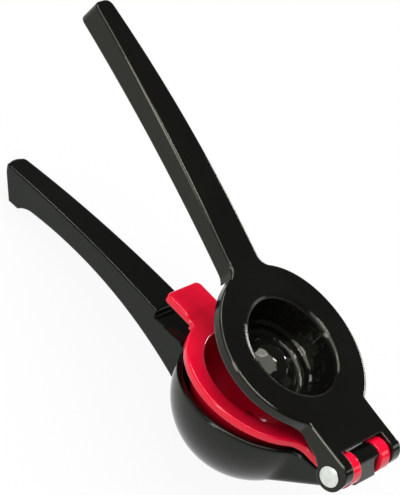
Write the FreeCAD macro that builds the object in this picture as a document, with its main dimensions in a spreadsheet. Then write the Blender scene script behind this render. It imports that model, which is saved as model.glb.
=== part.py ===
"""A hinged lemon squeezer: a bowl lever, a fruit insert and a press lever on one rivet.

Each piece is drawn closed, in one lever frame: the rivet's axis is the Y axis through
the origin, +X runs to the handle tips, and +Z is up, square to the bowl's rim. The
placements stand the bowl's flat and the handle's foot on the ground and open the
insert and the press lever to their rest position.
"""
import FreeCAD, Part
import math
import os
import Sketcher

V = FreeCAD.Vector

# Driving dimensions, in millimetres and degrees.
SIZES = {
    # The bowl, the insert, the press boss and the round plate share one centre.
    "disc_centre": 51.2,
    "bowl_radius": 34.2,
    "bowl_wall": 2.6,
    "bowl_centre": -6.9,
    "bowl_rim": -5.75,
    "bowl_flat": 0.9,
    "disc_lap": 1.8,
    # Press lever, seen from the side.
    "plate_height": 5.0,
    "plate_thickness": 4.2,
    "neck_bend": 400.0,
    "plate_bend": 250.0,
    "handle_lead": 7.8,
    "press_length": 207.5,
    "press_tip_height": 19.85,
    "press_tip_depth": 10.15,
    "press_top_bend": 718.0,
    "press_floor_bend": 688.0,
    "press_root_floor": -0.3,
    "press_wall_inset": 1.2,
    "rib_start": 9.3,
    "rib_end": 24.0,
    "rib_lead": 4.0,
    "rib_floor": -0.1,
    "rib_dip": 0.5,
    # Press lever, seen from above.
    "neck_half": 18.6,
    "press_root_half": 9.1,
    "press_tip_half": 5.1,
    "press_side_bend": 2500.0,
    "press_corner": 3.5,
    "handle_fillet": 6.0,
    "neck_fillet": 2.0,
    "channel_wall": 2.4,
    "channel_roof": 2.6,
    # Hinge.
    "ear_radius": 6.4,
    "ear_width": 5.2,
    "ear_exit": 20.0,
    "side_gap": 0.3,
    "middle_half": 6.6,
    "middle_radius": 6.3,
    "hinge_relief": 7.9,
    "plate_rear": 5.2,
    "knuckle_radius": 6.8,
    "knuckle_relief": 7.3,
    "rivet_radius": 2.5,
    "running_gap": 0.05,
    "head_radius": 4.35,
    "tail_radius": 3.8,
    "head_height": 1.3,
    "head_edge": 0.4,
    "head_gap": 0.1,
    # Press boss and its hollow: a ring trough round a dome.
    "boss_gap": 2.4,
    "boss_wall": 2.6,
    "boss_depth": 20.6,
    "boss_shoulder": 3.0,
    "boss_taper": 8.8,
    "boss_bend": 16.5,
    "boss_lip": 4.0,
    "boss_lip_rise": 1.2,
    "hollow_depth": 16.6,
    "hollow_lip": 1.0,
    "hollow_taper": 2.7,
    "hollow_bend": 50.0,
    "ledge_height": 4.2,
    "ledge_width": 1.2,
    "ledge_drop": 1.0,
    "trough_height": 2.0,
    "trough_draft": 0.4,
    "trough_bend": 2.6,
    "trough_edge": 1.9,
    "dome_edge": 2.0,
    "dome_edge_rise": 1.0,
    "dome_edge_bend": 2.2,
    "dome_depth": 8.2,
    # Bowl lever.
    "lower_neck_half": 13.1,
    "heel_x": -6.3,
    "heel_z": -4.3,
    "crown_x": -4.2,
    "wedge_sink": 2.85,
    "knuckle_front": 2.0,
    "lower_length": 196.5,
    "lower_top_tip": 4.2,
    "lower_top_start": -0.8,
    "lower_top_bend": 640.0,
    "notch_gap": 0.7,
    "notch_margin": 0.9,
    "notch_floor": -4.4,
    "notch_drop": 0.4,
    "foot_toe": 188.0,
    "foot_length": 5.5,
    "foot_floor": -9.5,
    "arch_end": 174.0,
    "arch_end_height": -5.95,
    "arch_lap": 5.4,
    "arch_start_height": -22.2,
    "arch_bend": 190.0,
    "foot_bend": 12.0,
    "lower_root_half": 9.9,
    "lower_root_lead": 20.0,
    "lower_tip_half": 5.8,
    "lower_side_bend": 6000.0,
    "lower_corner": 2.6,
    "channel_corner": 1.5,
    "channel_end_wall": 16.5,
    # Fruit insert.
    "flange_lap": 0.3,
    "flange_thickness": 3.15,
    "flange_gap": 0.15,
    "cup_gap": 2.8,
    "cup_wall": 2.2,
    "insert_rear": 8.4,
    "insert_fillet": 7.0,
    "tab_length": 15.8,
    "tab_half": 10.3,
    "tab_floor": -4.15,
    "tab_top": -0.9,
    "tab_corner": 2.6,
    "tab_lap": 4.0,
    "tab_ramp": 5.0,
    "tab_fillet": 1.5,
    # Drain holes.
    "drain_radius": 2.1,
    "drain_ring": 9.6,
    # Rounded edges.
    "press_round": 0.9,
    "lip_round": 1.4,
    "lower_round": 0.8,
    "neck_under_round": 3.0,
    "bowl_blend": 5.0,
    "flange_round": 1.0,
    "cup_round": 0.9,
    # Rest position.
    "insert_open": 6.25,
    "press_open": 20.7,
}

doc = FreeCAD.newDocument("LemonSqueezer")
sheet = doc.addObject("Spreadsheet::Sheet", "Sizes")
for row, (alias, amount) in enumerate(SIZES.items(), start=1):
    sheet.set(f"A{row}", alias)
    sheet.set(f"B{row}", str(amount))
    sheet.setAlias(f"B{row}", alias)
doc.recompute()


def value_of(expression):
    """The number that an expression on the sheet gives."""
    answer = sheet.evalExpression(expression)
    return float(getattr(answer, "Value", answer))


def cell(alias):
    """One cell of the sheet, for use in an expression."""
    return f"Sizes.{alias}"


def plane_of(body, role):
    """One of a body's own origin planes."""
    return next(item for item in body.Origin.OriginFeatures if item.Role == role)


def new_body(name):
    """An empty body whose label is its node's name."""
    body = doc.addObject("PartDesign::Body", name)
    body.Label = name
    return body


def new_sketch(body, name, role, shift_x=None, shift_z=None):
    """A sketch on one of the body's origin planes, moved in that plane or off it."""
    sketch = body.newObject("Sketcher::SketchObject", name)
    sketch.AttachmentSupport = (plane_of(body, role), [""])
    sketch.MapMode = "FlatFace"
    if shift_x:
        sketch.setExpression("AttachmentOffset.Base.x", shift_x)
    if shift_z:
        sketch.setExpression("AttachmentOffset.Base.z", shift_z)
    doc.recompute()
    return sketch


def arc_between(start, end, radius, side):
    """The minor arc between two points that bulges to the right or left of the way."""
    way = end - start
    outward = V(way.y, -way.x, 0).normalize() * (1 if side == "right" else -1)
    rise = math.sqrt(max(radius**2 - (way.Length / 2) ** 2, 0.0))
    centre = (start + end) * 0.5 - outward * rise
    first, last = (start, end) if side == "right" else (end, start)
    turn_from = math.atan2(first.y - centre.y, first.x - centre.x)
    turn_to = math.atan2(last.y - centre.y, last.x - centre.x)
    if turn_to < turn_from:
        turn_to += 2 * math.pi
    return Part.ArcOfCircle(Part.Circle(centre, V(0, 0, 1), radius), turn_from, turn_to)


def bind(sketch, kind, piece, point, amount, expression):
    """One dimension of a sketch, driven by an expression."""
    if point is None:
        place = sketch.addConstraint(Sketcher.Constraint(kind, piece, amount))
    else:
        place = sketch.addConstraint(Sketcher.Constraint(kind, piece, point, amount))
    sketch.setExpression(f"Constraints[{place}]", expression)


def draw(sketch, path):
    """Draws one closed loop whose corners and radii follow the sheet.

    Each step is (x, y) for a straight edge to that corner, or (x, y, radius, side)
    for an arc to it.
    """
    corners = [V(value_of(step[0]), value_of(step[1]), 0) for step in path]
    pieces = []
    ends = []
    for number, step in enumerate(path):
        start = corners[number - 1]
        end = corners[number]
        if len(step) == 2:
            shape = Part.LineSegment(start, end)
            ends.append((1, 2))
        else:
            shape = arc_between(start, end, value_of(step[2]), step[3])
            ends.append((1, 2) if step[3] == "right" else (2, 1))
        pieces.append(sketch.addGeometry(shape, False))
    for number, step in enumerate(path):
        piece = pieces[number]
        following = (number + 1) % len(path)
        meeting = (piece, ends[number][1], pieces[following], ends[following][0])
        sketch.addConstraint(Sketcher.Constraint("Coincident", *meeting))
        bind(sketch, "DistanceX", piece, ends[number][1], corners[number].x, step[0])
        bind(sketch, "DistanceY", piece, ends[number][1], corners[number].y, step[1])
        if len(step) == 4:
            bind(sketch, "Radius", piece, None, value_of(step[2]), step[2])
    return sketch


def draw_circle(sketch, x, y, radius):
    """Draws one circle whose centre and radius follow the sheet."""
    centre = V(value_of(x), value_of(y), 0)
    ring = sketch.addGeometry(Part.Circle(centre, V(0, 0, 1), value_of(radius)), False)
    bind(sketch, "DistanceX", ring, 3, centre.x, x)
    bind(sketch, "DistanceY", ring, 3, centre.y, y)
    bind(sketch, "Radius", ring, None, value_of(radius), radius)
    return sketch


def middle_of(edge):
    """The point half-way along an edge."""
    return edge.valueAt((edge.FirstParameter + edge.LastParameter) / 2)


def facing(shape, edge):
    """The outward directions of the two faces that meet at an edge's middle."""
    point = middle_of(edge)
    directions = []
    for face in shape.ancestorsOfType(edge, Part.Face):
        directions.append(face.normalAt(*face.Surface.parameter(point)))
    return directions


def crests(shape, upward=1):
    """The edges where a face that looks up, or down for -1, meets an upright wall."""
    for number, edge in enumerate(shape.Edges, start=1):
        if edge.Length < 0.05:
            continue
        steep = sorted(upward * way.z for way in facing(shape, edge))
        if len(steep) == 2 and abs(steep[0]) < 0.2 and steep[1] > 0.6:
            yield number, middle_of(edge)


def round_edges(body, numbers, radius, name):
    """Rounds some edges of a body, given by their numbers."""
    before = body.Shape.Volume
    base = body.Tip
    feature = body.newObject("PartDesign::Fillet", name)
    feature.Base = (base, [f"Edge{number}" for number in numbers])
    feature.setExpression("Radius", radius)
    doc.recompute()
    if not numbers or abs(body.Shape.Volume - before) < 1e-4:
        raise RuntimeError(f"{name} rounds nothing")
    return feature


def pad(body, sketch, length, name):
    """Thickens a sketch to both sides of its plane."""
    feature = body.newObject("PartDesign::Pad", name)
    feature.Profile = sketch
    feature.setExpression("Length", length)
    feature.SideType = "Symmetric"
    doc.recompute()
    return feature


def pocket(body, sketch, length, name):
    """Cuts a sketch out of a body to both sides of its plane."""
    before = body.Shape.Volume
    feature = body.newObject("PartDesign::Pocket", name)
    feature.Profile = sketch
    feature.setExpression("Length", length)
    feature.SideType = "Symmetric"
    doc.recompute()
    if body.Shape.Volume > before - 1e-3:
        raise RuntimeError(f"{name} cuts nothing")
    return feature


def turn(body, sketch, name, kind="PartDesign::Revolution", axis="V_Axis"):
    """Turns a sketch once round its own axis, to add to a body or to cut it."""
    before = body.Shape.Volume if body.Tip else 0.0
    feature = body.newObject(kind, name)
    feature.Profile = sketch
    feature.ReferenceAxis = (sketch, [axis])
    feature.Angle = 360.0
    doc.recompute()
    if abs(body.Shape.Volume - before) < 1e-3:
        raise RuntimeError(f"{name} changes nothing")
    return feature


def cut_with(body, tool, name):
    """Cuts another body's shape out of a body."""
    before = body.Shape.Volume
    feature = body.newObject("PartDesign::Boolean", name)
    feature.Type = "Cut"
    feature.setObjects([tool])
    doc.recompute()
    if body.Shape.Volume > before - 1e-3:
        raise RuntimeError(f"{name} cuts nothing")
    return feature


def crop(body, outline, name):
    """Cuts a body down to an outline seen from above."""
    sketch = new_sketch(body, f"{name}_outline", "XY_Plane")
    draw(sketch, [(f"-{FAR}", f"-{FAR}"), (FAR, f"-{FAR}"), (FAR, FAR), (f"-{FAR}", FAR)])
    draw(sketch, outline)
    return pocket(body, sketch, FAR, name)


def mirrored(half):
    """Closes an outline, given on the -Y side, with its mirror image."""
    back = []
    for number in range(len(half) - 1, -1, -1):
        arc = half[number + 1][2:] if number + 1 < len(half) else ()
        back.append((half[number][0], f"-({half[number][1]})") + tuple(arc))
    return half + back


def slots(body, path, inner, outer, name):
    """Cuts a profile out of a body between two distances on both sides of the middle."""
    for side, sign in (("near", "-"), ("far", "")):
        sketch = new_sketch(
            body, f"{name}_{side}_profile", "XZ_Plane",
            shift_z=f"{sign}({inner} + {outer}) / 2")
        draw(sketch, path)
        pocket(body, sketch, f"{outer} - {inner}", f"{name}_{side}")


def bore(body, radius, name):
    """A hole through a whole body on the rivet's axis."""
    sketch = new_sketch(body, f"{name}_circle", "XZ_Plane")
    draw_circle(sketch, "0", "0", radius)
    return pocket(body, sketch, f"4 * {cell('neck_half')}", name)


FAR = f"(2 * {cell('press_length')})"
CENTRE = cell("disc_centre")
BOWL = cell("bowl_radius")
DISC = f"({BOWL} + {cell('disc_lap')})"
FLANGE = f"({BOWL} + {cell('flange_lap')})"
CUP = f"({BOWL} - {cell('bowl_wall')} - {cell('cup_gap')} - {cell('cup_wall')})"
BOSS = f"({CUP} - {cell('boss_gap')})"
HOLLOW = f"({BOSS} - {cell('boss_wall')})"
TOP = cell("plate_height")
PLATE = cell("plate_thickness")
EAR = cell("ear_radius")
RIM = cell("bowl_rim")
EAR_INNER = f"({cell('neck_half')} - {cell('ear_width')})"
KNUCKLE_INNER = f"({cell('middle_half')} + {cell('side_gap')})"
KNUCKLE_OUTER = f"({EAR_INNER} - {cell('side_gap')})"
BROAD = f"(2 * ({DISC} + {cell('handle_lead')}))"
RUNNING_BORE = f"({cell('rivet_radius')} + {cell('running_gap')})"
HANDLE_START = f"({CENTRE} + {DISC} + {cell('handle_lead')})"
FLANGE_END = f"({CENTRE} + {FLANGE})"
TAB_END = f"({FLANGE_END} + {cell('tab_length')})"
NOTCH_START = f"({FLANGE_END} + {cell('notch_gap')})"
NOTCH_END = f"({TAB_END} + {cell('notch_margin')})"


def plate_line(x, bend, depth="0"):
    """Height of the bent press plate at x, a depth below its top face."""
    return f"({TOP} + {bend} - sqrt(({bend} + {depth})^2 - ({x} - {CENTRE})^2))"


def tip_steps(half_width, length, corner, side_bend):
    """The last steps of a handle's outline: its side and its rounded tip corner."""
    return [
        (f"({length} - {corner})", f"-({half_width})", side_bend, "right"),
        (length, f"-({half_width} - {corner})", corner, "right"),
    ]


def make_press_channel():
    """The hollow underside of the press handle, as a solid to cut."""
    tool = new_body("press_channel")
    wall = cell("channel_wall")
    roof = cell("channel_roof")
    start = f"({CENTRE} + {DISC} + {wall})"
    end = f"({cell('press_length')} - {wall})"
    bend = cell("plate_bend")
    side = new_sketch(tool, "press_channel_side", "XZ_Plane")
    draw(side, [
        (start, f"-{FAR}"),
        (start, plate_line(start, bend, roof)),
        (HANDLE_START, plate_line(HANDLE_START, bend, roof), f"({bend} + {roof})", "right"),
        (end, f"({cell('press_tip_height')} - {roof})",
         f"({cell('press_top_bend')} - {roof})", "left"),
        (end, f"-{FAR}"),
    ])
    pad(tool, side, BROAD, "press_channel_block")
    corner = f"({cell('press_corner')} - {wall} / 2)"
    half = [(start, f"-({cell('press_root_half')} - {wall})")]
    half += tip_steps(
        f"({cell('press_tip_half')} - {wall})", end, corner, cell("press_side_bend"))
    crop(tool, mirrored(half), "press_channel_crop")
    return tool


def make_press_lever():
    """The upper lever: ears, a round plate with a hollow press boss, and a handle."""
    body = new_body("press_lever")
    neck_bend = cell("neck_bend")
    bend = cell("plate_bend")
    crown = plate_line("0", neck_bend)
    wall = f"({CENTRE} + {DISC} - {cell('press_wall_inset')})"
    rib = cell("rib_end")
    length = cell("press_length")
    side = new_sketch(body, "press_side", "XZ_Plane")
    draw(side, [
        ("0", crown, EAR, "left"),
        (CENTRE, TOP, neck_bend, "right"),
        (HANDLE_START, plate_line(HANDLE_START, bend), bend, "right"),
        (length, cell("press_tip_height"), cell("press_top_bend"), "left"),
        (length, f"({cell('press_tip_height')} - {cell('press_tip_depth')})"),
        (wall, cell("press_root_floor"), cell("press_floor_bend"), "right"),
        (wall, plate_line(wall, bend, PLATE)),
        (CENTRE, f"({TOP} - {PLATE})", f"({bend} + {PLATE})", "left"),
        (rib, plate_line(rib, neck_bend, PLATE), f"({neck_bend} + {PLATE})", "left"),
        (f"({rib} - {cell('rib_lead')})", cell("rib_floor")),
        (cell("rib_start"), f"({cell('rib_floor')} - {cell('rib_dip')})"),
        (f"({EAR} * cos({cell('ear_exit')}))", f"(-{EAR} * sin({cell('ear_exit')}))"),
        ("0", f"-{EAR}", EAR, "left"),
        (f"-{EAR}", "0", EAR, "left"),
        (f"-{EAR}", f"({crown} - {EAR})"),
    ])
    pad(body, side, BROAD, "press_block")

    neck = cell("neck_half")
    fillet = cell("handle_fillet")
    root = cell("press_root_half")
    run = f"sqrt(({DISC} + {fillet})^2 - ({root} + {fillet})^2)"
    share = f"({DISC} / ({DISC} + {fillet}))"
    corner = cell("neck_fillet")
    lead = f"sqrt(({DISC} + {corner})^2 - ({neck} + {corner})^2)"
    part = f"({DISC} / ({DISC} + {corner}))"
    half = [
        (f"-{CENTRE}", f"-{neck}"),
        (f"({CENTRE} - {lead})", f"-{neck}"),
        (f"({CENTRE} - {part} * {lead})", f"(-{part} * ({neck} + {corner}))", corner, "left"),
        (f"({CENTRE} + {share} * {run})", f"(-{share} * ({root} + {fillet}))", DISC, "right"),
        (f"({CENTRE} + {run})", f"-{root}", fillet, "left"),
    ]
    half += tip_steps(
        cell("press_tip_half"), length, cell("press_corner"), cell("press_side_bend"))
    crop(body, mirrored(half), "press_crop")
    rim = [number for number, middle in crests(body.Shape) if middle.x > 0]
    round_edges(body, rim, cell("press_round"), "press_rim")

    gap = new_sketch(body, "press_gap_profile", "XZ_Plane")
    rear = cell("plate_rear")
    under = f"({rib} + {cell('rib_lead')} / 2)"
    draw(gap, [
        (f"-{FAR}", FAR),
        (rear, FAR),
        (rear, plate_line(rear, neck_bend, PLATE)),
        (under, plate_line(under, neck_bend, PLATE), f"({neck_bend} + {PLATE})", "right"),
        (under, f"-{FAR}"),
        (f"-{FAR}", f"-{FAR}"),
    ])
    pocket(body, gap, f"2 * {EAR_INNER}", "press_gap")
    relief = new_sketch(body, "press_relief_circle", "XZ_Plane")
    draw_circle(relief, "0", "0", cell("hinge_relief"))
    pocket(body, relief, f"2 * {EAR_INNER}", "press_relief")
    bore(body, RUNNING_BORE, "press_bore")

    boss = new_sketch(body, "press_boss_profile", "XZ_Plane", shift_x=CENTRE)
    foot = f"({TOP} - {cell('boss_depth')})"
    foot_radius = f"({BOSS} - {cell('boss_taper')})"
    apex = f"({TOP} - {cell('dome_depth')} - {cell('boss_wall')})"
    inner_foot = f"({foot_radius} - {cell('boss_lip')})"
    inner_rise = f"({foot} + {cell('boss_lip_rise')})"
    dome_drop = f"({apex} - {inner_rise})"
    draw(boss, [
        ("0", f"({TOP} - {PLATE} / 2)"),
        (BOSS, f"({TOP} - {PLATE} / 2)"),
        (BOSS, f"({TOP} - {PLATE} - {cell('boss_shoulder')})"),
        (foot_radius, foot, cell("boss_bend"), "left"),
        (inner_foot, inner_rise, cell("boss_wall"), "left"),
        ("0", apex, f"(({inner_foot}^2 + {dome_drop}^2) / (2 * {dome_drop}))", "right"),
    ])
    turn(body, boss, "press_boss")

    hollow = new_sketch(body, "press_hollow_profile", "XZ_Plane", shift_x=CENTRE)
    trough = f"({TOP} - {cell('hollow_depth')})"
    ledge = f"({trough} + {cell('ledge_height')})"
    ledge_radius = f"({HOLLOW} - {cell('hollow_taper')})"
    inner_radius = f"({ledge_radius} - {cell('ledge_width')})"
    floor_radius = f"({inner_radius} - {cell('trough_draft')})"
    trough_radius = f"({floor_radius} - {cell('trough_edge')})"
    dome = f"({trough_radius} - {cell('dome_edge')})"
    dome_foot = f"({trough} + {cell('dome_edge_rise')})"
    dome_top = f"({TOP} - {cell('dome_depth')})"
    dome_rise = f"({dome_top} - {dome_foot})"
    draw(hollow, [
        ("0", f"({TOP} + {PLATE})"),
        (HOLLOW, f"({TOP} + {PLATE})"),
        (HOLLOW, f"({TOP} - {cell('hollow_lip')})"),
        (ledge_radius, ledge, cell("hollow_bend"), "left"),
        (inner_radius, f"({ledge} - {cell('ledge_drop')})"),
        (floor_radius, f"({trough} + {cell('trough_height')})"),
        (trough_radius, trough, cell("trough_bend"), "left"),
        (dome, dome_foot, cell("dome_edge_bend"), "left"),
        ("0", dome_top, f"(({dome}^2 + {dome_rise}^2) / (2 * {dome_rise}))", "right"),
    ])
    turn(body, hollow, "press_hollow", "PartDesign::Groove")
    lip = [
        number for number, edge in enumerate(body.Shape.Edges, start=1)
        if edge.Length > 0.05 and middle_of(edge).z > value_of(TOP) - 0.5
        and abs(V(middle_of(edge).x - value_of(CENTRE), middle_of(edge).y, 0).Length
                - value_of(HOLLOW)) < 0.05]
    round_edges(body, lip, cell("lip_round"), "press_hollow_rim")
    cut_with(body, make_press_channel(), "press_channel_cut")
    return body


def upright_corners(shape, half_width, radius):
    """The upright edges where a side at half_width leaves the round edge of a plate."""
    centre = value_of(CENTRE)
    for number, edge in enumerate(shape.Edges, start=1):
        if edge.Length < 0.05:
            continue
        middle = middle_of(edge)
        way = edge.tangentAt(edge.FirstParameter)
        reach = V(middle.x - centre, middle.y, 0).Length
        if abs(way.z) > 0.99 and abs(abs(middle.y) - half_width) < 0.01:
            if abs(reach - radius) < 0.01:
                yield number


def drain(body, name, height):
    """Drain holes through the bottom of a cup: one in the middle, six round it."""
    sketch = new_sketch(body, f"{name}_circles", "XY_Plane", shift_z=height)
    radius = cell("drain_radius")
    ring = cell("drain_ring")
    draw_circle(sketch, CENTRE, "0", radius)
    for step in range(6):
        angle = f"{60 * step + 30} deg"
        draw_circle(sketch, f"({CENTRE} + {ring} * cos({angle}))", f"({ring} * sin({angle}))", radius)
    pocket(body, sketch, f"({BOWL} / 2)", name)


def make_insert():
    """The fruit insert: a flanged cup, a finger tab and two knuckles."""
    body = new_body("fruit_insert")
    floor = f"({RIM} + {cell('flange_gap')})"
    top = f"({floor} + {cell('flange_thickness')})"
    cup = CUP
    shell = f"({cup} + {cell('cup_wall')})"
    profile = new_sketch(body, "insert_profile", "XZ_Plane", shift_x=CENTRE)
    draw(profile, [
        ("0", f"({RIM} - {shell})"),
        (shell, RIM, shell, "right"),
        (shell, floor),
        (FLANGE, floor),
        (FLANGE, top),
        (cup, top),
        (cup, RIM),
        ("0", f"({RIM} - {cup})", cup, "left"),
    ])
    turn(body, profile, "insert_cup")

    neck = new_sketch(body, "insert_neck_outline", "XY_Plane", shift_z=f"({floor} + {top}) / 2")
    half = [
        ("0", f"-{KNUCKLE_OUTER}"),
        (f"({CENTRE} - {shell} + {cell('cup_wall')} / 2)", f"-{KNUCKLE_OUTER}"),
    ]
    draw(neck, mirrored(half))
    pad(body, neck, f"{top} - {floor}", "insert_neck")

    tab = new_sketch(body, "insert_tab_profile", "XZ_Plane")
    tab_top = cell("tab_top")
    ramp = cell("tab_ramp")
    rise = f"({tab_top} - {top})"
    ramp_bend = f"(({ramp}^2 + {rise}^2) / (4 * {rise}))"
    draw(tab, [
        (f"({FLANGE_END} - {cell('tab_lap')})", floor),
        (FLANGE_END, floor),
        (FLANGE_END, cell("tab_floor")),
        (TAB_END, cell("tab_floor")),
        (TAB_END, tab_top),
        (f"({FLANGE_END} + {ramp})", tab_top),
        (f"({FLANGE_END} + {ramp} / 2)", f"(({tab_top} + {top}) / 2)", ramp_bend, "right"),
        (FLANGE_END, top, ramp_bend, "left"),
        (f"({FLANGE_END} - {cell('tab_lap')})", top),
    ])
    half_width = cell("tab_half")
    corner = cell("tab_corner")
    pad(body, tab, f"2 * {half_width}", "insert_tab")
    trim = new_sketch(body, "insert_tab_corner_outline", "XY_Plane")
    draw(trim, [
        (f"({TAB_END} - {corner})", f"-{FAR}"),
        (FAR, f"-{FAR}"),
        (FAR, FAR),
        (f"({TAB_END} - {corner})", FAR),
        (f"({TAB_END} - {corner})", half_width),
        (TAB_END, f"({half_width} - {corner})", corner, "left"),
        (TAB_END, f"-({half_width} - {corner})"),
        (f"({TAB_END} - {corner})", f"-{half_width}", corner, "left"),
    ])
    pocket(body, trim, FAR, "insert_tab_corners")

    roots = list(upright_corners(body.Shape, value_of(KNUCKLE_OUTER), value_of(FLANGE)))
    round_edges(body, roots, cell("insert_fillet"), "insert_neck_roots")
    roots = list(upright_corners(body.Shape, value_of(half_width), value_of(FLANGE)))
    round_edges(body, roots, cell("tab_fillet"), "insert_tab_roots")
    rim = [
        number for number, middle in crests(body.Shape)
        if V(middle.x - value_of(CENTRE), middle.y, 0).Length > value_of(shell)
        and middle.x > 1.0]
    round_edges(body, rim, cell("flange_round"), "insert_rim")
    lip = [
        number for number, middle in crests(body.Shape)
        if V(middle.x - value_of(CENTRE), middle.y, 0).Length < value_of(shell)]
    round_edges(body, lip, cell("cup_round"), "insert_cup_rim")

    knuckle = new_sketch(body, "insert_knuckle_circle", "XZ_Plane")
    draw_circle(knuckle, "0", "0", cell("knuckle_radius"))
    pad(body, knuckle, f"2 * {KNUCKLE_OUTER}", "insert_knuckles")
    gap = new_sketch(body, "insert_gap_profile", "XZ_Plane")
    rear = cell("insert_rear")
    draw(gap, [(f"-{FAR}", f"-{FAR}"), (rear, f"-{FAR}"), (rear, FAR), (f"-{FAR}", FAR)])
    pocket(body, gap, f"2 * {KNUCKLE_INNER}", "insert_gap")
    bore(body, RUNNING_BORE, "insert_bore")
    drain(body, "insert_drain", f"({RIM} - {shell})")
    return body


FOOT_RUN = f"({cell('foot_toe')} - {CENTRE})"
FOOT_DROP = f"({cell('bowl_centre')} - {cell('foot_floor')})"
FLAT_DEPTH = f"({cell('bowl_radius')} - {cell('bowl_flat')})"
TILT = (
    f"(asin({FLAT_DEPTH} / sqrt({FOOT_RUN}^2 + {FOOT_DROP}^2))"
    f" - atan({FOOT_DROP} / {FOOT_RUN}))")
HEEL_RUN = f"({CENTRE} - {cell('heel_x')})"
HEEL_DROP = f"({cell('heel_z')} - {cell('bowl_centre')})"
HEEL_REACH = f"sqrt({HEEL_RUN}^2 + {HEEL_DROP}^2)"
WEDGE_SINK = f"({BOWL} - {cell('wedge_sink')})"
WEDGE_ANGLE = f"(asin({WEDGE_SINK} / {HEEL_REACH}) + atan({HEEL_DROP} / {HEEL_RUN}))"
WEDGE_LENGTH = f"sqrt({HEEL_REACH}^2 - {WEDGE_SINK}^2)"


def make_bowl_channel():
    """The hollow underside of the lower handle, as a solid to cut."""
    tool = new_body("bowl_channel")
    wall = cell("channel_wall")
    roof = cell("channel_roof")
    start = f"({NOTCH_START} + {roof})"
    end = f"({cell('lower_length')} - {cell('channel_end_wall')})"
    notch = f"({NOTCH_END} + {roof})"
    side = new_sketch(tool, "bowl_channel_side", "XZ_Plane")
    draw(side, [
        (start, f"-{FAR}"),
        (start, f"({cell('notch_floor')} - {roof} - {cell('notch_drop')})"),
        (notch, f"({cell('notch_floor')} - {roof})"),
        (notch, f"({cell('lower_top_start')} - {roof})"),
        (end, f"({cell('lower_top_tip')} - {roof} * 1.25)", cell("lower_top_bend"), "left"),
        (end, f"-{FAR}"),
    ])
    pad(tool, side, BROAD, "bowl_channel_block")
    slim = f"({cell('lower_tip_half')} - {wall} * 2 / 3)"
    half = [(start, f"-({cell('lower_root_half')} - {wall})")]
    half += tip_steps(slim, end, cell("channel_corner"), cell("lower_side_bend"))
    crop(tool, mirrored(half), "bowl_channel_crop")
    return tool


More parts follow.
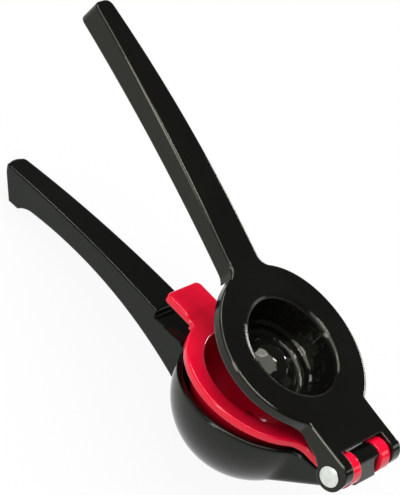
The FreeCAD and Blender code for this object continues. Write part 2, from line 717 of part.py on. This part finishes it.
def make_bowl_lever():
    """The lower lever: a centre knuckle, a bowl and a handle with a foot."""
    body = new_body("bowl_lever")
    middle = cell("middle_radius")
    heel_x = cell("heel_x")
    heel_z = cell("heel_z")
    side = new_sketch(body, "bowl_side", "XZ_Plane")
    draw(side, [
        (cell("crown_x"), f"sqrt({middle}^2 - {cell('crown_x')}^2)"),
        (middle, "0", middle, "left"),
        (f"sqrt({middle}^2 - {RIM}^2)", RIM, middle, "left"),
        (NOTCH_START, RIM),
        (NOTCH_START, f"({cell('notch_floor')} - {cell('notch_drop')})"),
        (NOTCH_END, cell("notch_floor")),
        (NOTCH_END, cell("lower_top_start")),
        (cell("lower_length"), cell("lower_top_tip"), cell("lower_top_bend"), "left"),
        (cell("foot_toe"), cell("foot_floor")),
        (f"({cell('foot_toe')} - {cell('foot_length')})", cell("foot_floor")),
        (cell("arch_end"), cell("arch_end_height"), cell("foot_bend"), "right"),
        (f"({CENTRE} + {BOWL} - {cell('arch_lap')})", cell("arch_start_height"),
         cell("arch_bend"), "right"),
        (CENTRE, f"({cell('arch_start_height')} - {cell('bowl_wall')})"),
        (f"({heel_x} + {WEDGE_LENGTH} * cos({WEDGE_ANGLE}))",
         f"({heel_z} - {WEDGE_LENGTH} * sin({WEDGE_ANGLE}))"),
        (heel_x, heel_z),
    ])
    pad(body, side, BROAD, "bowl_block")
    neck = cell("lower_neck_half")
    root = cell("lower_root_half")
    half = [
        (f"-{CENTRE}", f"-{neck}"),
        (CENTRE, f"-{neck}"),
        (f"({CENTRE} + {cell('lower_root_lead')})", f"-{root}"),
    ]
    half += tip_steps(
        cell("lower_tip_half"), cell("lower_length"), cell("lower_corner"),
        cell("lower_side_bend"))
    crop(body, mirrored(half), "bowl_crop")
    top = [
        number for number, middle in crests(body.Shape)
        if middle.z > value_of(cell("lower_top_start")) - 0.5 and middle.x > value_of(NOTCH_END)]
    round_edges(body, top, cell("lower_round"), "bowl_handle_rim")
    heel = [
        number for number, middle in crests(body.Shape, -1)
        if 0 < middle.x < value_of(CENTRE) / 2 and abs(middle.y) > 1]
    round_edges(body, heel, cell("neck_under_round"), "bowl_neck_under")

    outer = cell("bowl_radius")
    hub = cell("bowl_centre")
    inner = f"({outer} - {cell('bowl_wall')})"
    lip = f"sqrt({outer}^2 - ({RIM} - {hub})^2)"
    bowl = new_sketch(body, "bowl_profile", "XZ_Plane", shift_x=CENTRE)
    draw(bowl, [("0", f"({hub} - {outer})"), (lip, RIM, outer, "right"), ("0", RIM)])
    turn(body, bowl, "bowl_outside")
    ball = V(value_of(CENTRE), 0, value_of(hub))
    blend = [
        number for number, edge in enumerate(body.Shape.Edges, start=1)
        if edge.Length > 0.05 and middle_of(edge).x < ball.x
        and middle_of(edge).z < value_of(RIM) - 0.1
        and abs((middle_of(edge) - ball).Length - value_of(outer)) < 0.02]
    round_edges(body, blend, cell("bowl_blend"), "bowl_blend")
    hollow = new_sketch(body, "bowl_hollow_profile", "XZ_Plane", shift_x=CENTRE)
    draw(hollow, [
        ("0", f"({hub} - {inner})"),
        (inner, hub, inner, "right"),
        (inner, "0"),
        ("0", "0"),
    ])
    turn(body, hollow, "bowl_hollow", "PartDesign::Groove")

    relief = cell("knuckle_relief")
    front = cell("knuckle_front")
    slots(body, [
        (f"-{FAR}", FAR),
        (relief, FAR),
        (relief, "0"),
        (front, f"-sqrt({relief}^2 - {front}^2)", relief, "left"),
        (front, f"-{FAR}"),
        (f"-{FAR}", f"-{FAR}"),
    ], cell("middle_half"), FAR, "bowl_relief")
    bore(body, cell("rivet_radius"), "bowl_bore")

    flat = new_sketch(body, "bowl_flat_profile", "XZ_Plane")
    base_x = f"({CENTRE} + {FLAT_DEPTH} * sin({TILT}))"
    base_z = f"({hub} - {FLAT_DEPTH} * cos({TILT}))"
    along_x = f"{BOWL} * cos({TILT})"
    along_z = f"{BOWL} * sin({TILT})"
    draw(flat, [
        (f"({base_x} - {along_x})", f"({base_z} - {along_z})"),
        (f"({base_x} - {along_x} + {along_z})", f"({base_z} - {along_z} - {along_x})"),
        (f"({base_x} + {along_x} + {along_z})", f"({base_z} + {along_z} - {along_x})"),
        (f"({base_x} + {along_x})", f"({base_z} + {along_z})"),
    ])
    pocket(body, flat, FAR, "bowl_flat")
    cut_with(body, make_bowl_channel(), "bowl_channel_cut")
    drain(body, "bowl_drain", f"({hub} - {outer})")
    return body


def make_rivet():
    """The hinge rivet: a domed head, a shank and a formed tail."""
    body = new_body("hinge_rivet")
    shank = cell("rivet_radius")
    seat = f"({cell('neck_half')} + {cell('head_gap')})"
    crown = f"({seat} + {cell('head_height')})"
    edge = f"({seat} + {cell('head_edge')})"
    rise = f"({cell('head_height')} - {cell('head_edge')})"
    head = cell("head_radius")
    tail = cell("tail_radius")
    profile = new_sketch(body, "rivet_profile", "YZ_Plane")
    draw(profile, [
        (f"-{crown}", "0"),
        (f"-{edge}", tail, f"(({tail}^2 + {rise}^2) / (2 * {rise}))", "left"),
        (f"-{seat}", tail),
        (f"-{seat}", shank),
        (seat, shank),
        (seat, head),
        (edge, head),
        (crown, "0", f"(({head}^2 + {rise}^2) / (2 * {rise}))", "left"),
    ])
    turn(body, profile, "rivet_turned", axis="H_Axis")
    return body


press_lever = make_press_lever()
fruit_insert = make_insert()
bowl_lever = make_bowl_lever()
hinge_rivet = make_rivet()

# Rest position: the flat under the bowl and the foot of the handle stand on z = 0.
tilt = value_of(TILT)
slant = math.radians(tilt)
axis_height = (
    SIZES["foot_toe"] * math.sin(slant) - SIZES["foot_floor"] * math.cos(slant))
opened = {
    bowl_lever: 0.0,
    hinge_rivet: 0.0,
    fruit_insert: SIZES["insert_open"],
    press_lever: SIZES["press_open"],
}
for body, opening in opened.items():
    body.Placement = FreeCAD.Placement(
        V(0, 0, axis_height), FreeCAD.Rotation(180, tilt - opening, 0))
doc.recompute()
low = min(body.Shape.optimalBoundingBox(False).XMin for body in opened)
high = max(body.Shape.optimalBoundingBox(False).XMax for body in opened)
for body in opened:
    body.Placement.Base = V(-(low + high) / 2, 0, axis_height)
doc.recompute()

for item in doc.Objects:
    if "Invalid" in item.State or "Error" in item.State:
        raise RuntimeError(f"{item.Label} is {item.State}")
os.makedirs("parts", exist_ok=True)
for body in opened:
    if body.Shape.isNull() or not body.Shape.isValid():
        raise RuntimeError(f"{body.Label} has no valid shape")
    print(body.Label, round(body.Shape.Volume), len(body.Shape.Solids), body.Shape.BoundBox)
    body.Shape.exportStep(f"parts/{body.Label}.step")
print("hinge axis at", -(low + high) / 2, 0, axis_height, "tilt", tilt)
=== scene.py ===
"""Dresses and lights the hinged lemon squeezer: three enamelled castings on a steel rivet."""

import logging
import math
from dataclasses import dataclass
from enum import Enum
from typing import Any

import bpy
from mathutils import Matrix, Vector

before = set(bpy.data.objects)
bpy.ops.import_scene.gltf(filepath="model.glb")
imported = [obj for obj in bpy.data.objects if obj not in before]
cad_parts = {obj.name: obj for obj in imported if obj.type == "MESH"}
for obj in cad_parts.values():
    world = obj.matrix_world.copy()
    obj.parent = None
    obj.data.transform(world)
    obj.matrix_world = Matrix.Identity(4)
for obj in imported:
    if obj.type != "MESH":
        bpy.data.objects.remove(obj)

LOG = logging.getLogger("lemon_squeezer")
MM = 0.001
Colour = tuple[float, float, float]
Point = tuple[float, float, float]
Stops = tuple[tuple[float, float], ...]
WHITE: Colour = (1.0, 1.0, 1.0)
FROM_ABOVE: Point = (1.0, 1.0, 0.0)
ALONG_RIVET: Point = (1.0, 0.0, 1.0)


class Port:
    """One output in a shader, with arithmetic that adds Math nodes."""

    def __init__(self, graph: "Graph", socket: bpy.types.NodeSocket) -> None:
        """Wraps a socket of a graph.

        Args:
            graph: The graph that the socket belongs to.
            socket: The output socket to wrap.
        """
        self.graph = graph
        self.socket = socket

    def _math(self, operation: str, *values: "Port | float") -> "Port":
        """Adds one Math node for an operation on sockets or numbers."""
        return self.graph.add("ShaderNodeMath", {"operation": operation}, *values)

    def __add__(self, other: "Port | float") -> "Port":
        """Sum."""
        return self._math("ADD", self, other)

    def __radd__(self, other: float) -> "Port":
        """Sum with a number on the left."""
        return self._math("ADD", other, self)

    def __sub__(self, other: "Port | float") -> "Port":
        """Difference."""
        return self._math("SUBTRACT", self, other)

    def __rsub__(self, other: float) -> "Port":
        """Difference from a number on the left."""
        return self._math("SUBTRACT", other, self)

    def __mul__(self, other: "Port | float") -> "Port":
        """Product."""
        return self._math("MULTIPLY", self, other)

    def __rmul__(self, other: float) -> "Port":
        """Product with a number on the left."""
        return self._math("MULTIPLY", other, self)

    def maximum(self, other: "Port") -> "Port":
        """The larger of two values."""
        return self._math("MAXIMUM", self, other)

    def clamped(self) -> "Port":
        """The value held between 0 and 1."""
        return self.graph.add("ShaderNodeClamp", {}, self)


@dataclass(frozen=True)
class Grain:
    """A cloudy noise.

    Attributes:
        scale: Clouds to the metre.
        detail: Octaves of finer noise.
        rough: How strong the finer noise is.
    """

    scale: float
    detail: float
    rough: float


class Graph:
    """The node tree of one material or world."""

    # A Mix node's colour sockets come after its number and vector ones.
    MIX_SHARE = 0
    MIX_FIRST = 6
    MIX_SECOND = 7
    MIX_RESULT = 2
    # A ramp's stop is made in the middle and then moved.
    NEW_STOP = 0.5

    def __init__(self, tree: bpy.types.NodeTree) -> None:
        """Starts from an empty tree.

        Args:
            tree: The node tree to fill.
        """
        self.tree = tree
        tree.nodes.clear()

    def node(self, kind: str, settings: dict[str, Any], inputs: dict[Any, Any]) -> bpy.types.Node:
        """Adds a node, sets it up and fills or links its inputs.

        Args:
            kind: The node's type name.
            settings: Properties of the node, set first.
            inputs: Values or ports by input name or number.

        Returns:
            The new node.
        """
        made = self.tree.nodes.new(kind)
        for name, value in settings.items():
            setattr(made, name, value)
        for key, value in inputs.items():
            socket = made.inputs[key]
            if isinstance(value, Port):
                self.tree.links.new(value.socket, socket)
            else:
                socket.default_value = value
        return made

    def add(self, kind: str, settings: dict[str, Any], *values: Any, output: Any = 0) -> Port:
        """Adds a node with its inputs in order.

        Args:
            kind: The node's type name.
            settings: Properties of the node, set first.
            *values: Values or ports of the inputs, from the first on.
            output: The name or number of the output that is wanted.

        Returns:
            That output.
        """
        made = self.node(kind, settings, dict(enumerate(values)))
        return Port(self, made.outputs[output])

    def place(self) -> Port:
        """The point on the piece, in the object's own frame."""
        return self.add("ShaderNodeTexCoord", {}, output="Object")

    def height(self, place: Port) -> Port:
        """How high a point is."""
        return self.add("ShaderNodeSeparateXYZ", {}, place, output="Z")

    def flattened(self, place: Port, keep: Point) -> Port:
        """Puts a point's numbers to 0 where keep is 0, and leaves them where it is 1."""
        return self.add("ShaderNodeVectorMath", {"operation": "MULTIPLY"}, place, keep)

    def apart(self, place: Port, centre: Point) -> Port:
        """How far a point is from a fixed one, in metres."""
        return self.add(
            "ShaderNodeVectorMath", {"operation": "DISTANCE"}, place, centre, output="Value")

    def noise(self, place: Port, grain: Grain) -> Port:
        """Adds cloudy noise in space.

        Args:
            place: The point to read it at.
            grain: The noise's clouds.

        Returns:
            The noise, about 0 to 1.
        """
        return self._noise("3D", {"Vector": place}, grain)

    def rings(self, apart: Port, grain: Grain) -> Port:
        """Adds noise along one number, which makes rings where that is a distance.

        Args:
            apart: The distance to read it at.
            grain: The noise's rings.

        Returns:
            The noise, about 0 to 1.
        """
        return self._noise("1D", {"W": apart}, grain)

    def _noise(self, dimensions: str, place: dict[str, Port], grain: Grain) -> Port:
        """Adds the noise node itself.

        Args:
            dimensions: The node's name for its number of dimensions.
            place: Where to read it, under the name of the socket that takes this.
            grain: The noise's size and detail.

        Returns:
            The noise, about 0 to 1.
        """
        made = self.node("ShaderNodeTexNoise", {"noise_dimensions": dimensions}, {
            **place, "Scale": grain.scale, "Detail": grain.detail, "Roughness": grain.rough})
        return Port(self, made.outputs[0])

    def ramp(self, value: Port, stops: Stops) -> Port:
        """Maps a value through grey stops.

        Args:
            value: The value to map.
            stops: Pairs of position and grey level.

        Returns:
            The mapped value.
        """
        made = self.node("ShaderNodeValToRGB", {}, {0: value})
        points = made.color_ramp.elements
        while len(points) < len(stops):
            points.new(self.NEW_STOP)
        for point, (place, grey) in zip(points, stops):
            point.position = place
            point.color = (grey, grey, grey, 1.0)
        return Port(self, made.outputs["Color"])

    def mix_colour(self, share: Port, first: Colour, second: Colour) -> Port:
        """Blends two colours.

        Args:
            share: How much of the second there is, from 0 to 1.
            first: The colour at 0.
            second: The colour at 1.

        Returns:
            The blended colour.
        """
        made = self.node("ShaderNodeMix", {"data_type": "RGBA"}, {
            self.MIX_SHARE: share, self.MIX_FIRST: (*first, 1.0), self.MIX_SECOND: (*second, 1.0)})
        return Port(self, made.outputs[self.MIX_RESULT])

    def skin(self, relief: Port, edge: Port | float, rays: int) -> Port:
        """Gives a surface relief and edges that look rounded.

        Args:
            relief: The relief's height, in millimetres.
            edge: The radius that sharp edges look rounded to, in metres.
            rays: How many rays the rounding takes.

        Returns:
            The normal to shade with.
        """
        soft_edge = self.add("ShaderNodeBevel", {"samples": rays}, edge)
        bump = self.node("ShaderNodeBump", {}, {
            "Strength": 1.0, "Distance": MM, "Height": relief, "Normal": soft_edge})
        return Port(self, bump.outputs["Normal"])

    def finish(self, kind: str, shader: bpy.types.Node) -> None:
        """Ends the tree: links a shader to an output node of the kind that is named."""
        self.node(kind, {}, {"Surface": Port(self, shader.outputs[0])})


def new_material(name: str) -> tuple[bpy.types.Material, Graph]:
    """Makes an empty node material.

    Args:
        name: The material's name.

    Returns:
        The material and the graph of its nodes.
    """
    made = bpy.data.materials.new(name)
    made.use_nodes = True
    return made, Graph(made.node_tree)


@dataclass(frozen=True)
class RolledRim:
    """A rim with a rounder edge than the rest, in a ring of space about an upright line.

    Attributes:
        centre: The point at height 0 on the upright line.
        inner: The ring's inner radius, in metres.
        outer: Its outer radius, in metres.
        low: The height that it starts at, in metres.
        extra: How much rounder the edge is in it, in metres.
        fade: The distance over which it comes in, in metres.
    """

    centre: Point
    inner: float
    outer: float
    low: float
    extra: float
    fade: float = MM

    def radius(self, graph: Graph, place: Port) -> Port:
        """How much rounder the edge is, in metres.

        Args:
            graph: The material's graph.
            place: The point on the piece.

        Returns:
            The added radius, which is nothing away from the rim.
        """
        steep = 1 / self.fade
        apart = graph.apart(graph.flattened(place, FROM_ABOVE), self.centre)
        beyond_inner = ((apart - self.inner) * steep).clamped()
        within_outer = ((self.outer - apart) * steep).clamped()
        above_low = ((graph.height(place) - self.low) * steep).clamped()
        return beyond_inner * within_outer * above_low * self.extra


@dataclass(frozen=True)
class CastRipple:
    """The wavy skin of a casting where the polishing wheel doesn't reach, in a ball of space.

    Attributes:
        centre: The ball's centre.
        radius: Its radius, in metres.
        fade: The distance over which the skin comes in, in metres.
        height: The height of the waves, in millimetres.
        smooth: How far from the centre the chatter starts, in metres.
        rough_height: The height of the chatter on the steep wall, in millimetres.
        waves: The waves' noise.
        chatter: The chatter's noise.
    """

    centre: Point
    radius: float
    fade: float
    height: float
    smooth: float
    rough_height: float
    waves: Grain = Grain(210.0, 1.0, 0.4)
    chatter: Grain = Grain(380.0, 1.0, 0.5)

    def depth(self, graph: Graph, place: Port) -> Port:
        """The ripple's height, in millimetres.

        Args:
            graph: The material's graph.
            place: The point on the piece.

        Returns:
            The height, which is nothing outside the ball.
        """
        steep = 1 / self.fade
        apart = graph.apart(place, self.centre)
        inside = ((self.radius - apart) * steep).clamped()
        on_wall = ((apart - self.smooth) * steep).clamped()
        waves = graph.noise(place, self.waves)
        chatter = graph.noise(place, self.chatter)
        return inside * (waves * self.height + on_wall * chatter * self.rough_height)


@dataclass(frozen=True)
class Enamel:
    """Glossy stove enamel over a die casting: deep colour, mirror gloss, faint orange peel.

    Attributes:
        name: The material's name.
        colour: The enamel's colour.
        shade: Its colour where it ran together and dried thicker.
        roughness: Its roughness where it is cleanest.
        index: Its refractive index.
        edge: The radius that sharp edges look rounded to, in metres.
        edge_rays: How many rays that rounding takes.
        peel: The height of the orange peel, in millimetres.
        speck_share: The height of the specks, as a share of the peel's.
        duller: How much rougher it is where it is thick, and again where it is rubbed.
        tint: The colour of its mirror gloss.
        cloud: The noise of the thicker places.
        flow: The noise of the orange peel.
        specks: The noise of the dust in it.
        rubbing: The noise of the rubbed places.
        pooled: The ramp that picks the thicker places.
        rubbed: The ramp that picks the rubbed places.
        hollow: A wavier skin in one part of the piece, or None.
        rim: A rounder rim on the piece, or None.
    """

    name: str
    colour: Colour
    shade: Colour
    roughness: float
    index: float
    edge: float = 0.0009
    edge_rays: int = 8
    peel: float = 0.012
    speck_share: float = 0.15
    duller: float = 0.03
    tint: Colour = WHITE
    cloud: Grain = Grain(38.0, 3.0, 0.5)
    flow: Grain = Grain(300.0, 1.5, 0.4)
    specks: Grain = Grain(2600.0, 1.0, 0.4)
    rubbing: Grain = Grain(120.0, 4.0, 0.6)
    pooled: Stops = ((0.35, 0.0), (0.7, 1.0))
    rubbed: Stops = ((0.5, 0.0), (0.8, 1.0))
    hollow: CastRipple | None = None
    rim: RolledRim | None = None

    def material(self) -> bpy.types.Material:
        """Builds the enamel's material.

        Returns:
            The material, with its colour, gloss, peel and softened edges.
        """
        made, graph = new_material(self.name)
        place = graph.place()
        pooled = graph.ramp(graph.noise(place, self.cloud), self.pooled)
        rubbed = graph.ramp(graph.noise(place, self.rubbing), self.rubbed)
        surface = graph.node("ShaderNodeBsdfPrincipled", {}, {
            "Base Color": graph.mix_colour(pooled, self.colour, self.shade),
            "Roughness": self.roughness + self.duller * pooled + self.duller * rubbed,
            "IOR": self.index,
            "Specular Tint": (*self.tint, 1.0),
            "Normal": graph.skin(
                self.relief(graph, place), self.rounding(graph, place), self.edge_rays),
        })
        graph.finish("ShaderNodeOutputMaterial", surface)
        return made

    def relief(self, graph: Graph, place: Port) -> Port:
        """The height of the enamel's skin.

        Args:
            graph: The material's graph.
            place: The point on the piece.

        Returns:
            The height, in millimetres.
        """
        flow = graph.noise(place, self.flow)
        specks = graph.noise(place, self.specks)
        height = self.peel * flow + self.speck_share * self.peel * specks
        if self.hollow is None:
            return height
        return height + self.hollow.depth(graph, place)

    def rounding(self, graph: Graph, place: Port) -> Port | float:
        """The radius that sharp edges look rounded to.

        Args:
            graph: The material's graph.
            place: The point on the piece.

        Returns:
            The radius, in metres.
        """
        if self.rim is None:
            return self.edge
        return self.edge + self.rim.radius(graph, place)


@dataclass(frozen=True)
class SatinSteel:
    """The rivet's steel: pale and a little rough, with turned rings, fine grain and dull patches.

    Attributes:
        name: The material's name.
        colour: The steel's colour.
        worn: Its colour where it is dull.
        roughness: Its roughness where it is clean.
        duller: How much rougher it is where it is dull.
        axis: A point on the rivet's axis, which the rings go round.
        edge: The radius that sharp edges look rounded to, in metres.
        edge_rays: How many rays that rounding takes.
        grain_height: The height of the grain, in millimetres.
        ring_height: The height of the turned rings, in millimetres.
        grain: The grain's noise.
        rings: The rings' noise.
        patches: The dull patches' noise.
        dull: The ramp that picks the dull patches.
    """

    name: str = "rivet_satin_steel"
    colour: Colour = (0.80, 0.84, 0.78)
    worn: Colour = (0.62, 0.65, 0.60)
    roughness: float = 0.30
    duller: float = 0.12
    axis: Point = (0.098611, 0.0, 0.051538)
    edge: float = 0.0003
    edge_rays: int = 6
    grain_height: float = 0.012
    ring_height: float = 0.030
    grain: Grain = Grain(1400.0, 4.0, 0.6)
    rings: Grain = Grain(2600.0, 2.0, 0.6)
    patches: Grain = Grain(320.0, 2.0, 0.5)
    dull: Stops = ((0.3, 0.0), (0.75, 1.0))

    def material(self) -> bpy.types.Material:
        """Builds the steel's material.

        Returns:
            The material, with its rings, grain, dull patches and softened edges.
        """
        made, graph = new_material(self.name)
        place = graph.place()
        grain = graph.noise(place, self.grain)
        apart = graph.apart(graph.flattened(place, ALONG_RIVET), self.axis)
        turned = graph.rings(apart, self.rings)
        dull = graph.ramp(graph.noise(place, self.patches), self.dull)
        relief = self.grain_height * grain + self.ring_height * turned
        surface = graph.node("ShaderNodeBsdfPrincipled", {}, {
            "Base Color": graph.mix_colour(dull, self.colour, self.worn),
            "Metallic": 1.0,
            "Roughness": self.roughness + self.duller * dull,
            "Normal": graph.skin(relief, self.edge, self.edge_rays),
        })
        graph.finish("ShaderNodeOutputMaterial", surface)
        return made


class Finish(Enum):
    """The finishes of the squeezer's pieces."""

    PRESS_BLACK = Enamel(
        "press_black_enamel", (0.0030, 0.0029, 0.0024), (0.0040, 0.0040, 0.0032),
        roughness=0.05, index=1.40, tint=(1.0, 1.0, 0.86),
        hollow=CastRipple(
            centre=(0.0465, 0.0, 0.056), radius=0.0228, fade=0.002,
            height=0.38, smooth=0.014, rough_height=0.10),
        rim=RolledRim((0.0472, 0.0, 0.0), inner=0.018, outer=0.027, low=0.057, extra=0.0020))
    BOWL_BLACK = Enamel(
        "bowl_black_enamel", (0.0030, 0.0030, 0.0024), (0.0038, 0.0041, 0.0032),
        roughness=0.06, index=1.40, tint=(0.92, 1.0, 0.88),
        rim=RolledRim((0.05027, 0.0, 0.0), inner=0.029, outer=0.037, low=0.030, extra=0.0024))
    RED = Enamel(
        "red_enamel", (0.74, 0.004, 0.030), (0.70, 0.003, 0.025), roughness=0.07, index=1.43)
    STEEL = SatinSteel()


@dataclass(frozen=True)
class Casting:
    """One piece of the squeezer, which keeps the CAD's mesh, and the finish that it wears.

    Attributes:
        node: The piece's name in the frame.
        finish: Its finish.
    """

    node: str
    finish: Finish

    def dress(self, materials: dict[Finish, bpy.types.Material]) -> None:
        """Gives the piece its finish.

        Args:
            materials: The built material of each finish.
        """
        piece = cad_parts[self.node]
        piece.data.materials.clear()
        piece.data.materials.append(materials[self.finish])
        LOG.info("%s wears %s", self.node, self.finish.name)


class BoxShape(Enum):
    """The shapes of lamp that the studio has."""

    ROUND = "DISK"
    STRIP = "RECTANGLE"


@dataclass(frozen=True)
class SoftBox:
    """One soft box, hung in a direction from the squeezer and aimed at it.

    Attributes:
        name: The lamp's name.
        shape: Its outline.
        azimuth: The way that it hangs, in degrees from +X towards +Y.
        elevation: How high it hangs, in degrees above level.
        width: How wide it is, in metres.
        height: How tall it is, in metres.
        strength: Its power over pi, in watts for each square metre of width times height.
        distance: How far it hangs from the point that it is aimed at, in metres.
        aim: That point.
    """

    name: str
    shape: BoxShape
    azimuth: float
    elevation: float
    width: float
    height: float
    strength: float
    distance: float = 2.0
    aim: Point = (0.0, 0.0, 0.04)

    def hang(self) -> None:
        """Hangs the lamp."""
        data = bpy.data.lights.new(self.name, "AREA")
        data.shape = self.shape.value
        data.size = self.width
        data.energy = self.strength * math.pi * self.width * self.height
        if self.shape is BoxShape.STRIP:
            data.size_y = self.height
        lamp = bpy.data.objects.new(self.name, data)
        turn, rise = math.radians(self.azimuth), math.radians(self.elevation)
        level = math.cos(rise)
        way = Vector((level * math.cos(turn), level * math.sin(turn), math.sin(rise)))
        facing = (-way).to_track_quat("-Z", "Y").to_matrix().to_4x4()
        lamp.matrix_world = Matrix.Translation(Vector(self.aim) + way * self.distance) @ facing
        bpy.context.scene.collection.objects.link(lamp)
        LOG.info("%s hangs", self.name)


@dataclass(frozen=True)
class PhotoCamera:
    """The camera, which stands where the photograph was taken from.

    Attributes:
        name: The camera's name.
        place: Where it stands, in metres.
        right: The way that the picture's right side points.
        down: The way that its lower side points.
        focal: The focal length, in the picture's pixels.
        rows: The picture's height, in pixels.
        sensor: The sensor's height, in millimetres.
        sight: How far it sees, in metres.
    """

    name: str = "photo_camera"
    place: Point = (0.271395, -0.834028, 0.726016)
    right: Point = (0.61045, 0.60909, 0.50632)
    down: Point = (0.75087, -0.24159, -0.61468)
    focal: float = 2783.61
    rows: float = 495.0
    sensor: float = 36.0
    sight: float = 50.0

    def set_up(self) -> None:
        """Places the camera and makes it the scene's own."""
        data = bpy.data.cameras.new(self.name)
        data.sensor_fit = "VERTICAL"
        data.sensor_height = self.sensor
        data.lens = self.sensor * (self.focal / self.rows)
        data.clip_end = self.sight
        camera = bpy.data.objects.new(self.name, data)
        right = Vector(self.right).normalized()
        up = -Vector(self.down).normalized()
        back = right.cross(up)
        turn = Matrix((right, up, back)).transposed().to_4x4()
        camera.matrix_world = Matrix.Translation(Vector(self.place)) @ turn
        bpy.context.scene.collection.objects.link(camera)
        bpy.context.scene.camera = camera
        LOG.info("%s stands", self.name)


@dataclass(frozen=True)
class PaperFloor:
    """The pale floor that the squeezer stands on, white to the camera and in gloss.

    Attributes:
        size: The length of its sides, in metres.
        drop: How far under the squeezer it lies, in metres, so that no two faces meet.
        paper: Its colour away from the squeezer.
        painted_contact_shade: Painted shade, the paper's colour where the squeezer touches it.
        painted_shade_reach: How far that painted darkening spreads, in metres.
        rays: How many rays finding the painted shade takes.
        roughness: How rough the paper is.
        specular: Its specular level, where 0.5 is usual.
        whiteness: The share of plain white that the camera and mirroring surfaces see.
    """

    size: float = 8.0
    drop: float = 0.0002
    paper: Colour = (0.56, 0.57, 0.53)
    painted_contact_shade: Colour = (0.04, 0.04, 0.04)
    painted_shade_reach: float = 0.09
    rays: int = 8
    roughness: float = 0.9
    specular: float = 0.1
    whiteness: float = 0.94

    def lay(self) -> None:
        """Lays the floor."""
        half = self.size / 2
        data = bpy.data.meshes.new("floor")
        corners = [(-half, -half), (half, -half), (half, half), (-half, half)]
        data.from_pydata([(x, y, -self.drop) for x, y in corners], [], [(0, 1, 2, 3)])
        floor = bpy.data.objects.new("floor", data)
        bpy.context.scene.collection.objects.link(floor)
        floor.data.materials.append(self.material())
        LOG.info("floor lies %.1f mm under the squeezer", self.drop / MM)

    def material(self) -> bpy.types.Material:
        """Builds the paper's material.

        Returns:
            The material, with the squeezer's shadow from the lamps and a painted shade that
            darkens the paper where the squeezer touches it.
        """
        made, graph = new_material("floor_paper")
        # Ambient occlusion paints shade into the paper where the squeezer touches it, on top of
        # the lamps' real shadow.
        painted_shade_openness = graph.add(
            "ShaderNodeAmbientOcclusion", {"samples": self.rays}, (*WHITE, 1.0), self.painted_shade_reach,
            output="AO")
        paper = graph.node("ShaderNodeBsdfPrincipled", {}, {
            "Base Color": graph.mix_colour(painted_shade_openness * painted_shade_openness, self.painted_contact_shade, self.paper),
            "Roughness": self.roughness,
            "Specular IOR Level": self.specular,
        })
        glow = graph.node("ShaderNodeEmission", {}, {"Color": (*WHITE, 1.0), "Strength": 1.0})
        path = graph.node("ShaderNodeLightPath", {}, {})
        mirrored = Port(graph, path.outputs["Is Glossy Ray"]).maximum(
            Port(graph, path.outputs["Is Transmission Ray"]))
        seen = Port(graph, path.outputs["Is Camera Ray"]).maximum(mirrored) * self.whiteness
        mixed = graph.node("ShaderNodeMixShader", {}, {
            0: seen, 1: Port(graph, paper.outputs[0]), 2: Port(graph, glow.outputs[0])})
        graph.finish("ShaderNodeOutputMaterial", mixed)
        return made


@dataclass(frozen=True)
class Room:
    """The room about the floor: white near the horizon, as the floor is, and dim above.

    Attributes:
        brightness: Pairs of height, from 0 at the horizon to 1 overhead, and brightness.
    """

    brightness: Stops = ((0.0, 1.0), (0.10, 0.9), (0.22, 0.09), (1.0, 0.07))

    def build(self) -> None:
        """Makes the room the scene's world."""
        world = bpy.data.worlds.new("studio_room")
        bpy.context.scene.world = world
        world.use_nodes = True
        graph = Graph(world.node_tree)
        way = graph.add("ShaderNodeTexCoord", {}, output="Generated")
        room = graph.ramp(graph.height(way), self.brightness)
        back = graph.node("ShaderNodeBackground", {}, {"Color": (*WHITE, 1.0), "Strength": room})
        graph.finish("ShaderNodeOutputWorld", back)
        LOG.info("the room is built")


@dataclass(frozen=True)
class Studio:
    """Everything about the squeezer: the camera, the floor, the room and the soft boxes."""

    camera: PhotoCamera = PhotoCamera()
    floor: PaperFloor = PaperFloor()
    room: Room = Room()
    lamps: tuple[SoftBox, ...] = (
        SoftBox("back_key", BoxShape.ROUND, 78.0, 66.0, 0.36, 0.36, 18.0),
        SoftBox("low_back_lamp", BoxShape.ROUND, 87.0, 25.0, 0.32, 0.32, 20.0),
        SoftBox("left_cloth", BoxShape.ROUND, 168.0, 56.0, 1.0, 1.0, 5.0),
        SoftBox("far_window", BoxShape.ROUND, 62.0, 21.0, 0.60, 0.60, 1.7),
        SoftBox("ceiling_cloth", BoxShape.ROUND, -100.0, 78.0, 2.4, 2.4, 2.8),
        SoftBox("side_strip", BoxShape.STRIP, -99.0, 34.0, 0.30, 2.2, 9.0),
    )

    def build(self) -> None:
        """Sets up everything that isn't the squeezer."""
        self.camera.set_up()
        self.floor.lay()
        self.room.build()
        for lamp in self.lamps:
            lamp.hang()
        bpy.context.scene.view_settings.view_transform = "Standard"


def main() -> None:
    """Dresses the pieces in order, then sets up the studio."""
    logging.basicConfig(level=logging.INFO)
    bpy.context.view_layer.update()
    materials = {finish: finish.value.material() for finish in Finish}
    for casting in (
            Casting("bowl_lever", Finish.BOWL_BLACK),
            Casting("press_lever", Finish.PRESS_BLACK),
            Casting("fruit_insert", Finish.RED),
            Casting("hinge_rivet", Finish.STEEL)):
        casting.dress(materials)
    Studio().build()


if __name__ == "__main__":
    main()
